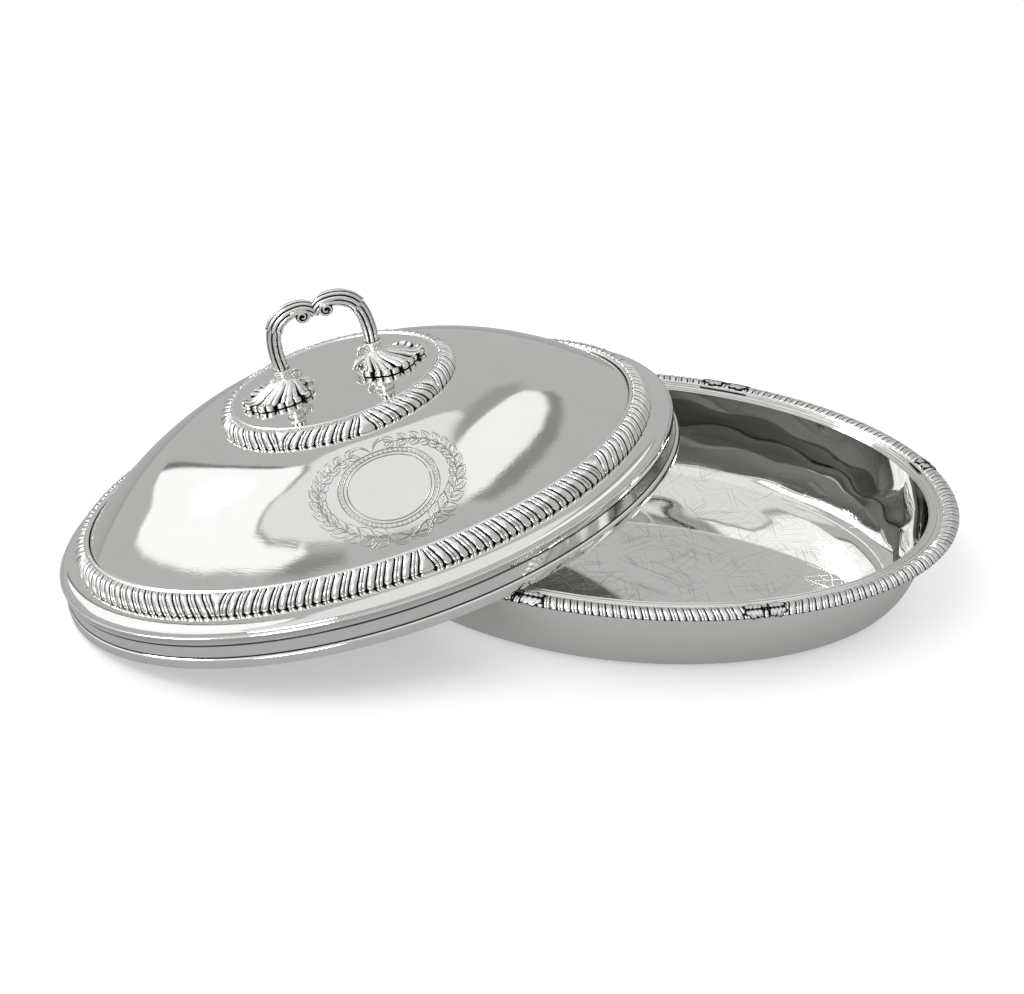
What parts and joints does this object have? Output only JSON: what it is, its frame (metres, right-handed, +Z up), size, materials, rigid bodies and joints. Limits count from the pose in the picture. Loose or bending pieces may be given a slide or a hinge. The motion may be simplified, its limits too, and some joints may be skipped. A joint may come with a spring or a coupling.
{
  "type": "oval entree dish",
  "caption": "Oval silver entree dish with gadrooned rim, its domed cover leaning on the rim and a turning lock handle on top.",
  "frame": {"origin": "middle of the dish's flat base, on the table", "axes": "+Z up, +X along the dish's long axis, away from the leaning cover; +Y to the back"},
  "size_m": [0.4077, 0.2701, 0.1467],
  "materials": {
    "sheet_silver": "polished",
    "cast_silver": "polished, darkened in the hollows",
    "inner_silver": "polished"
  },
  "bodies": {
    "dish": {"dish_bowl": "sheet_silver", "dish_rim_gadroon": "cast_silver", "dish_rim_reed": "sheet_silver"},
    "cover": {"cover_dome": "sheet_silver", "cover_wall": "sheet_silver", "cover_edge_wire": "sheet_silver", "cover_foot_wire": "sheet_silver", "cover_shoulder_gadroon": "cast_silver", "cover_plateau_gadroon": "cast_silver", "lock_plate": "inner_silver"},
    "handle": {"handle_foot_left": "cast_silver", "handle_foot_right": "cast_silver", "handle_collar_left": "cast_silver", "handle_collar_right": "cast_silver", "handle_stem_left": "cast_silver", "handle_stem_right": "cast_silver", "handle_scroll_left": "cast_silver", "handle_scroll_right": "cast_silver", "lock_stud_left": "inner_silver", "lock_stud_right": "inner_silver"}
  },
  "joints": [
    {"name": "cover_lift", "type": "slide", "parent": "dish", "child": "cover", "axis": [0, 0, 1], "range_m": [0, 0.15]},
    {"name": "handle_turn", "type": "hinge", "parent": "cover", "child": "handle", "pos_m": [-0.13247, -0.04532, 0.11901], "axis": [-0.2065, -0.0889, 0.9744], "range_deg": [0, 14]}
  ]
}
